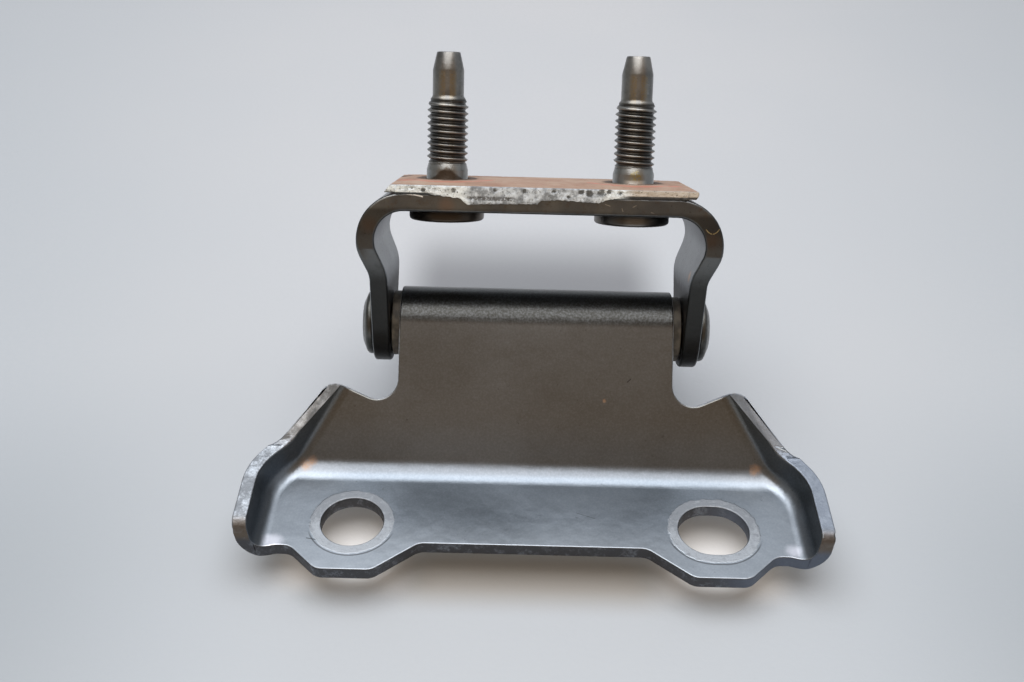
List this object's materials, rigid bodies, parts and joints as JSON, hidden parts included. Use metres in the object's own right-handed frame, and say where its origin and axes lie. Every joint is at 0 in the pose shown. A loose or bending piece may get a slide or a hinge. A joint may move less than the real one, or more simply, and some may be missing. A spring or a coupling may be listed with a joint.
{
  "type": "tailgate hinge",
  "caption": "Stamped tray-shaped gate bracket whose tongue rolls into an eye round a long pin carried by a U-shaped roof bracket with threaded studs and a sealing layer.",
  "frame": {"origin": "midway between the centres of the two bolt holes, on the face that bolts to the gate", "axes": "+Z is the normal of the bolting face, out of the gate; +X runs along the hinge pin; +Y points from the front edge back to the pin"},
  "size_m": [0.1074, 0.075, 0.0676],
  "materials": {
    "gate_sheet": "satin blue-grey coating, worn bright on the sheared edges and round the bolt holes",
    "roof_strap": "satin dark coating with a bronze sheen, chipped and speckled",
    "pin_steel": "dulled steel",
    "bush_polymer": "matt light grey liner",
    "stud_steel": "dulled steel with bronze stains",
    "seal_layer": "matt copper-pink layer with a torn, pitted off-white front edge"
  },
  "bodies": {
    "gate_side": {"gate_bracket": "gate_sheet", "bush_left": "bush_polymer", "bush_right": "bush_polymer"},
    "roof_side": {"roof_bracket": "roof_strap", "hinge_pin": "pin_steel", "stud_left": "stud_steel", "stud_right": "stud_steel", "seal_pad": "seal_layer"}
  },
  "joints": [
    {"name": "hinge_swing", "type": "hinge", "parent": "gate_side", "child": "roof_side", "pos_m": [0, 0.0378, 0.0196], "axis": [1, 0, 0], "range_deg": [-162, 90]}
  ]
}
